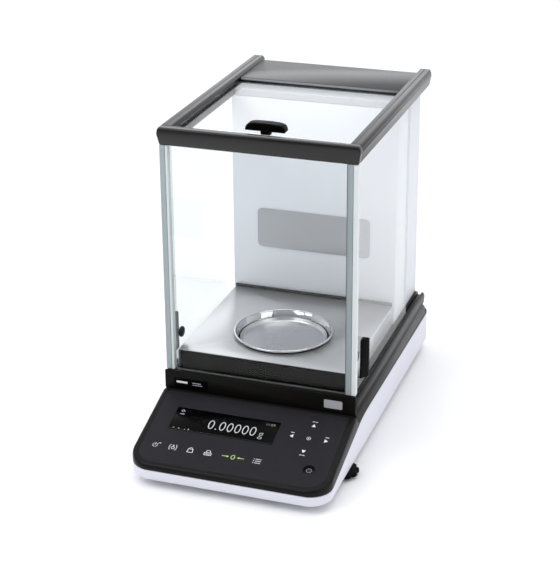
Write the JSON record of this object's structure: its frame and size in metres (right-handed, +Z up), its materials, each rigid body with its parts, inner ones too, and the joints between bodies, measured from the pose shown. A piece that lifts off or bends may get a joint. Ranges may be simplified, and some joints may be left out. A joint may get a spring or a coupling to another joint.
{
  "type": "analytical balance",
  "caption": "Laboratory analytical balance: low base with sloping key panel, round steel pan with draught ring, and a tall glass cabinet with sliding side and top doors.",
  "frame": {"origin": "on the table, under the middle of the base's outline", "axes": "+Z up, -Y the side with the keys and display, +X the right-hand side seen from the user"},
  "size_m": [0.227, 0.411, 0.352],
  "materials": {
    "white_plastic": "fine satin",
    "black_plastic": "satin",
    "grey_plastic": "satin",
    "panel_film": "fine matt film",
    "clear_glass": "polished, clear, faint green edge",
    "display_glass": "glossy, smoked",
    "brushed_steel": "satin brushed",
    "polished_steel": "mirror polished",
    "aluminium": "machined satin",
    "brass": "turned",
    "magnet_iron": "plated",
    "circuit_board": "solder mask",
    "rubber": "matt"
  },
  "bodies": {
    "base": {"lower_housing": "white_plastic", "rear_wall": "white_plastic", "tower_housing": "white_plastic", "upper_cover": "black_plastic", "fascia_strip": "black_plastic", "chamber_base": "black_plastic", "front_bar": "black_plastic", "left_rail": "black_plastic", "right_rail": "black_plastic", "rear_top_cover": "black_plastic", "power_jack": "black_plastic", "rear_crossbar": "grey_plastic", "display_module": "grey_plastic", "control_plate": "panel_film", "front_glass": "clear_glass", "left_corner_post": "clear_glass", "right_corner_post": "clear_glass", "level_vial": "clear_glass", "display_window": "display_glass", "floor_plate": "brushed_steel", "data_socket": "brushed_steel", "label_plate": "aluminium", "pan_support": "aluminium", "chassis_plate": "aluminium", "force_cell": "aluminium", "lever_arm": "aluminium", "magnet_housing": "magnet_iron", "calibration_motor": "magnet_iron", "keypad_board": "circuit_board", "main_board": "circuit_board", "floor_seal": "rubber", "rear_left_foot": "rubber", "rear_right_foot": "rubber"},
    "left_door": {"left_door_glass": "clear_glass", "left_door_handle": "black_plastic", "left_door_knob": "black_plastic"},
    "right_door": {"right_door_glass": "clear_glass", "right_door_handle": "black_plastic", "right_door_knob": "black_plastic"},
    "top_door": {"top_door_glass": "clear_glass", "top_door_handle": "black_plastic"},
    "pan": {"weighing_pan": "brushed_steel"},
    "ring": {"draft_ring": "polished_steel"},
    "left_pad": {"left_foot_pad": "rubber"},
    "left_wheel": {"left_foot_wheel": "black_plastic"},
    "right_pad": {"right_foot_pad": "rubber"},
    "right_wheel": {"right_foot_wheel": "black_plastic"},
    "weight": {"calibration_weight": "brass"},
    "cam": {"lift_cam": "magnet_iron"},
    "key_power_cap": {"key_power": "panel_film"},
    "key_calibrate_cap": {"key_calibrate": "panel_film"},
    "key_unit_cap": {"key_unit": "panel_film"},
    "key_print_cap": {"key_print": "panel_film"},
    "key_tare_cap": {"key_tare": "panel_film"},
    "key_menu_cap": {"key_menu": "panel_film"},
    "key_up_cap": {"key_up": "panel_film"},
    "key_left_cap": {"key_left": "panel_film"},
    "key_ok_cap": {"key_ok": "panel_film"},
    "key_right_cap": {"key_right": "panel_film"},
    "key_down_cap": {"key_down": "panel_film"}
  },
  "joints": [
    {"name": "left_door_slide", "type": "slide", "parent": "base", "child": "left_door", "axis": [0, 1, 0], "range_m": [0, 0.125]},
    {"name": "right_door_slide", "type": "slide", "parent": "base", "child": "right_door", "axis": [0, 1, 0], "range_m": [0, 0.125]},
    {"name": "top_door_slide", "type": "slide", "parent": "base", "child": "top_door", "axis": [0, 1, 0], "range_m": [0, 0.09]},
    {"name": "pan_lift_off", "type": "slide", "parent": "base", "child": "pan", "axis": [0, 0, 1], "range_m": [0, 0.04]},
    {"name": "ring_lift_off", "type": "slide", "parent": "base", "child": "ring", "axis": [0, 0, 1], "range_m": [0, 0.03]},
    {"name": "left_pad_travel", "type": "slide", "parent": "base", "child": "left_pad", "axis": [0, 0, -1], "range_m": [0, 0.006]},
    {"name": "left_wheel_turn", "type": "hinge", "parent": "left_pad", "child": "left_wheel", "pos_m": [-0.097, -0.119, 0], "axis": [0, 0, 1], "range_deg": [0, 2160]},
    {"name": "right_pad_travel", "type": "slide", "parent": "base", "child": "right_pad", "axis": [0, 0, -1], "range_m": [0, 0.006]},
    {"name": "right_wheel_turn", "type": "hinge", "parent": "right_pad", "child": "right_wheel", "pos_m": [0.097, -0.119, 0], "axis": [0, 0, 1], "range_deg": [0, 2160]},
    {"name": "weight_lower", "type": "slide", "parent": "base", "child": "weight", "axis": [0, 0, -1], "range_m": [0, 0.003]},
    {"name": "cam_turn", "type": "hinge", "parent": "base", "child": "cam", "pos_m": [0, -0.07, 0.023], "axis": [1, 0, 0], "range_deg": [0, 180]},
    {"name": "key_power_press", "type": "slide", "parent": "base", "child": "key_power_cap", "axis": [0, 0.2957, -0.9553], "range_m": [0, 0.0005], "stiffness_N_per_m": 1500},
    {"name": "key_calibrate_press", "type": "slide", "parent": "base", "child": "key_calibrate_cap", "axis": [0, 0.2957, -0.9553], "range_m": [0, 0.0005], "stiffness_N_per_m": 1500},
    {"name": "key_unit_press", "type": "slide", "parent": "base", "child": "key_unit_cap", "axis": [0, 0.2957, -0.9553], "range_m": [0, 0.0005], "stiffness_N_per_m": 1500},
    {"name": "key_print_press", "type": "slide", "parent": "base", "child": "key_print_cap", "axis": [0, 0.2957, -0.9553], "range_m": [0, 0.0005], "stiffness_N_per_m": 1500},
    {"name": "key_tare_press", "type": "slide", "parent": "base", "child": "key_tare_cap", "axis": [0, 0.2957, -0.9553], "range_m": [0, 0.0005], "stiffness_N_per_m": 1500},
    {"name": "key_menu_press", "type": "slide", "parent": "base", "child": "key_menu_cap", "axis": [0, 0.2957, -0.9553], "range_m": [0, 0.0005], "stiffness_N_per_m": 1500},
    {"name": "key_up_press", "type": "slide", "parent": "base", "child": "key_up_cap", "axis": [0, 0.2957, -0.9553], "range_m": [0, 0.0005], "stiffness_N_per_m": 1500},
    {"name": "key_left_press", "type": "slide", "parent": "base", "child": "key_left_cap", "axis": [0, 0.2957, -0.9553], "range_m": [0, 0.0005], "stiffness_N_per_m": 1500},
    {"name": "key_ok_press", "type": "slide", "parent": "base", "child": "key_ok_cap", "axis": [0, 0.2957, -0.9553], "range_m": [0, 0.0005], "stiffness_N_per_m": 1500},
    {"name": "key_right_press", "type": "slide", "parent": "base", "child": "key_right_cap", "axis": [0, 0.2957, -0.9553], "range_m": [0, 0.0005], "stiffness_N_per_m": 1500},
    {"name": "key_down_press", "type": "slide", "parent": "base", "child": "key_down_cap", "axis": [0, 0.2957, -0.9553], "range_m": [0, 0.0005], "stiffness_N_per_m": 1500}
  ],
  "couplings": [
    {"joint": "left_wheel_turn", "follows": "left_pad_travel", "rad_per_m": 6283.2},
    {"joint": "right_wheel_turn", "follows": "right_pad_travel", "rad_per_m": 6283.2},
    {"joint": "cam_turn", "follows": "weight_lower", "rad_per_m": 1047.2}
  ]
}
